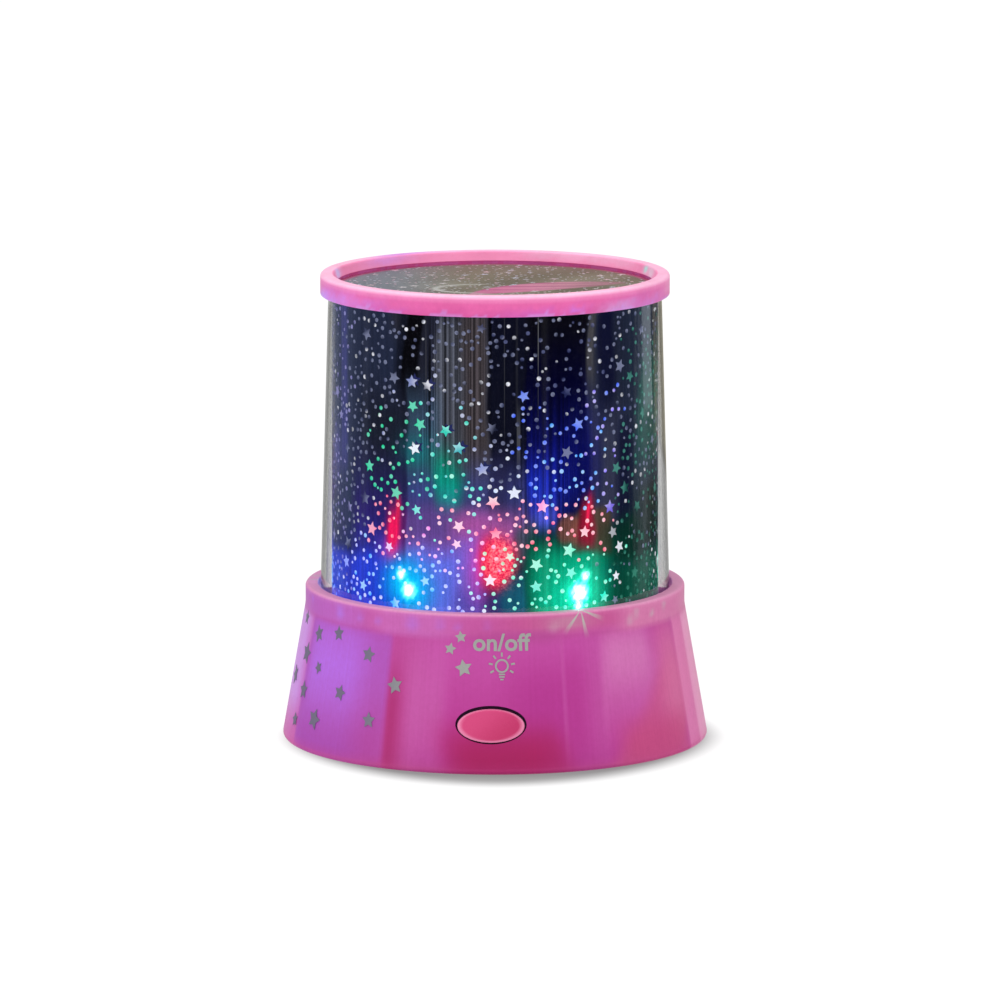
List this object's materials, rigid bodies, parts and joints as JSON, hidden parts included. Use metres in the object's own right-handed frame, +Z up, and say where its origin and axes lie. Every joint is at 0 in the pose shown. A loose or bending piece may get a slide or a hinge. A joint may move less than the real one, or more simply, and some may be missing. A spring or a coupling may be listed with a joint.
{
  "type": "star night light projector",
  "caption": "Battery night light: flared pink base with an oval button, coloured LEDs on a deck, and a lift-off clear shade lined with dark star film under a pink ring.",
  "frame": {"origin": "centre of the circle of foot pads, on the floor", "axes": "+Z up along the light's axis, -Y towards the front with the button, +X to the right seen from the front"},
  "size_m": [0.12, 0.12, 0.1319],
  "materials": {
    "pink_shell": "translucent pink moulded plastic, glossy",
    "pink_cover": "moulded plastic, fine texture",
    "pink_button": "moulded plastic, satin",
    "clear_plastic": "clear polystyrene, polished",
    "star_film": "dark glossy film with clear star windows",
    "silver_film": "metallised film with fine star windows",
    "deck_white": "white moulded plastic",
    "circuit_board": "green solder mask",
    "led_blue_lens": "clear blue epoxy, lit",
    "led_green_lens": "clear green epoxy, lit",
    "led_red_lens": "clear red epoxy, lit",
    "cell_can": "printed sleeve, satin",
    "contact_steel": "nickel-plated spring steel",
    "screw_steel": "zinc-plated",
    "foot_rubber": "soft foam rubber",
    "switch_grey": "moulded plastic",
    "resistor_tan": "lacquer with colour bands",
    "chip_black": "moulded epoxy",
    "lead_red_skin": "PVC insulation",
    "lead_black_skin": "PVC insulation",
    "lead_yellow_skin": "PVC insulation"
  },
  "bodies": {
    "base": {"base_housing": "pink_shell", "bottom_cover": "pink_cover", "cover_screws": "screw_steel", "foot_pads": "foot_rubber", "battery_1": "cell_can", "battery_2": "cell_can", "battery_3": "cell_can", "battery_springs": "contact_steel", "contact_plates": "contact_steel", "light_deck": "deck_white", "deck_screws": "screw_steel", "led_board": "circuit_board", "board_screws": "screw_steel", "led_blue": "led_blue_lens", "led_green": "led_green_lens", "led_red": "led_red_lens", "resistors": "resistor_tan", "controller_chip": "chip_black", "switch_body": "switch_grey", "switch_board": "circuit_board", "lead_red": "lead_red_skin", "lead_black": "lead_black_skin", "switch_leads": "lead_yellow_skin"},
    "button": {"button_cap": "pink_button"},
    "plunger": {"switch_plunger": "deck_white"},
    "door": {"battery_door": "pink_cover"},
    "door_fastener": {"door_screw": "screw_steel"},
    "shade": {"clear_cup": "clear_plastic", "star_film_wall": "star_film", "star_film_disc": "silver_film", "top_ring": "pink_shell"}
  },
  "joints": [
    {"name": "button_press", "type": "slide", "parent": "base", "child": "button", "axis": [0, 1, 0], "range_m": [0, 0.0015], "stiffness_N_per_m": 300},
    {"name": "plunger_press", "type": "slide", "parent": "base", "child": "plunger", "axis": [0, 1, 0], "range_m": [0, 0.0015]},
    {"name": "door_hinge", "type": "hinge", "parent": "base", "child": "door", "pos_m": [0, 0.02885, 0.0029], "axis": [1, 0, 0], "range_deg": [0, 90]},
    {"name": "door_screw_turn", "type": "hinge", "parent": "door", "child": "door_fastener", "pos_m": [0, -0.02885, 0.003], "axis": [0, 0, 1], "continuous": true},
    {"name": "shade_lift", "type": "slide", "parent": "base", "child": "shade", "axis": [0, 0, 1], "range_m": [0, 0.06]}
  ],
  "couplings": [
    {"joint": "plunger_press", "follows": "button_press", "ratio": 1}
  ]
}
